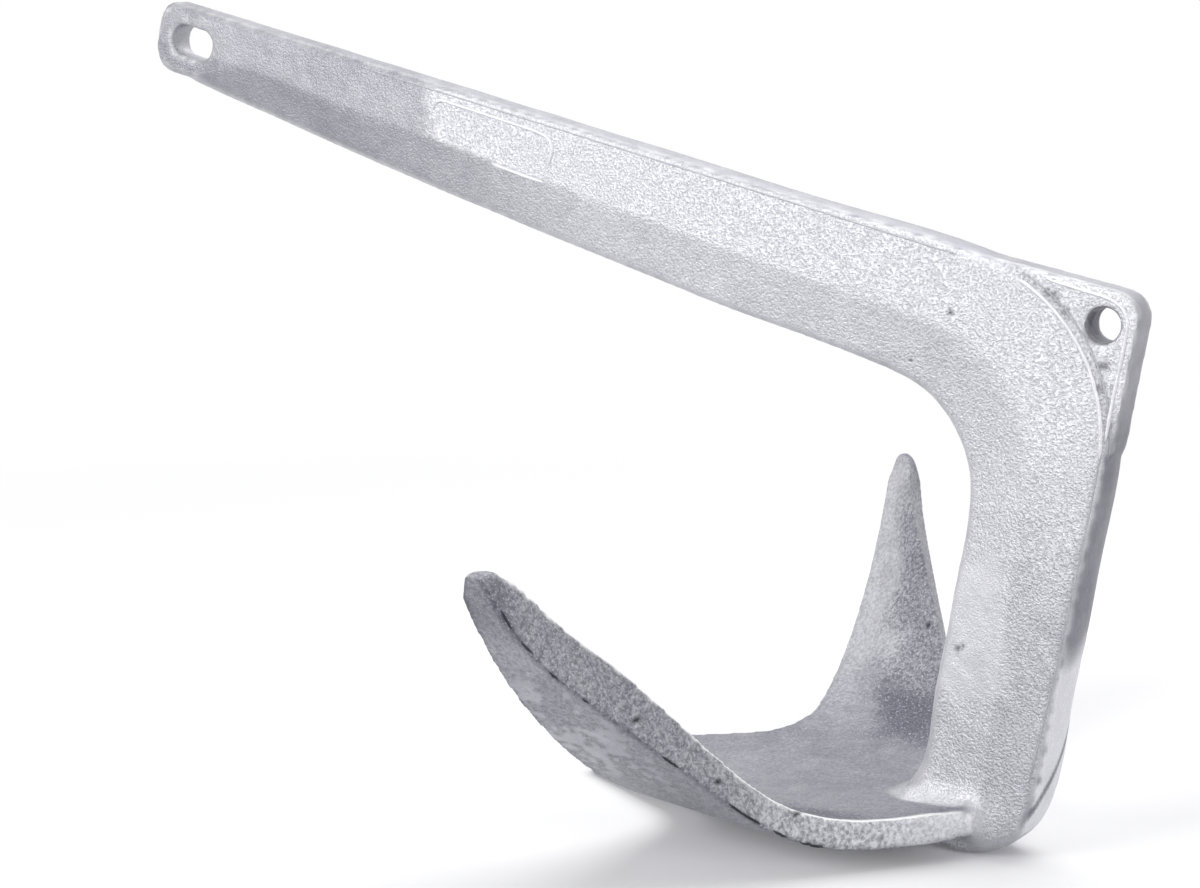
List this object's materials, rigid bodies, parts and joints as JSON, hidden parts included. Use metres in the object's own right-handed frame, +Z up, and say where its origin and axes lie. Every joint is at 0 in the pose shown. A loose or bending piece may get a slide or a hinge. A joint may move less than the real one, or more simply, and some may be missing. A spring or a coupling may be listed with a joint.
{
  "type": "claw anchor",
  "caption": "One-piece cast steel claw anchor with a curved scoop of two horns and a middle toe, a bent shank, a shackle slot and a trip line eye.",
  "frame": {"origin": "centre of the overall box, on the floor that the heel and the toe stand on", "axes": "+Z up, -X along the shank to the shackle slot, +X to the heel and the trip line eye, +Y across, the XZ plane is the plane of symmetry"},
  "size_m": [0.5498, 0.3794, 0.3622],
  "materials": {
    "galvanised_steel": "rough cast steel, hot-dip galvanised, dull light grey"
  },
  "bodies": {
    "root": {"claw_anchor": "galvanised_steel"}
  },
  "joints": []
}
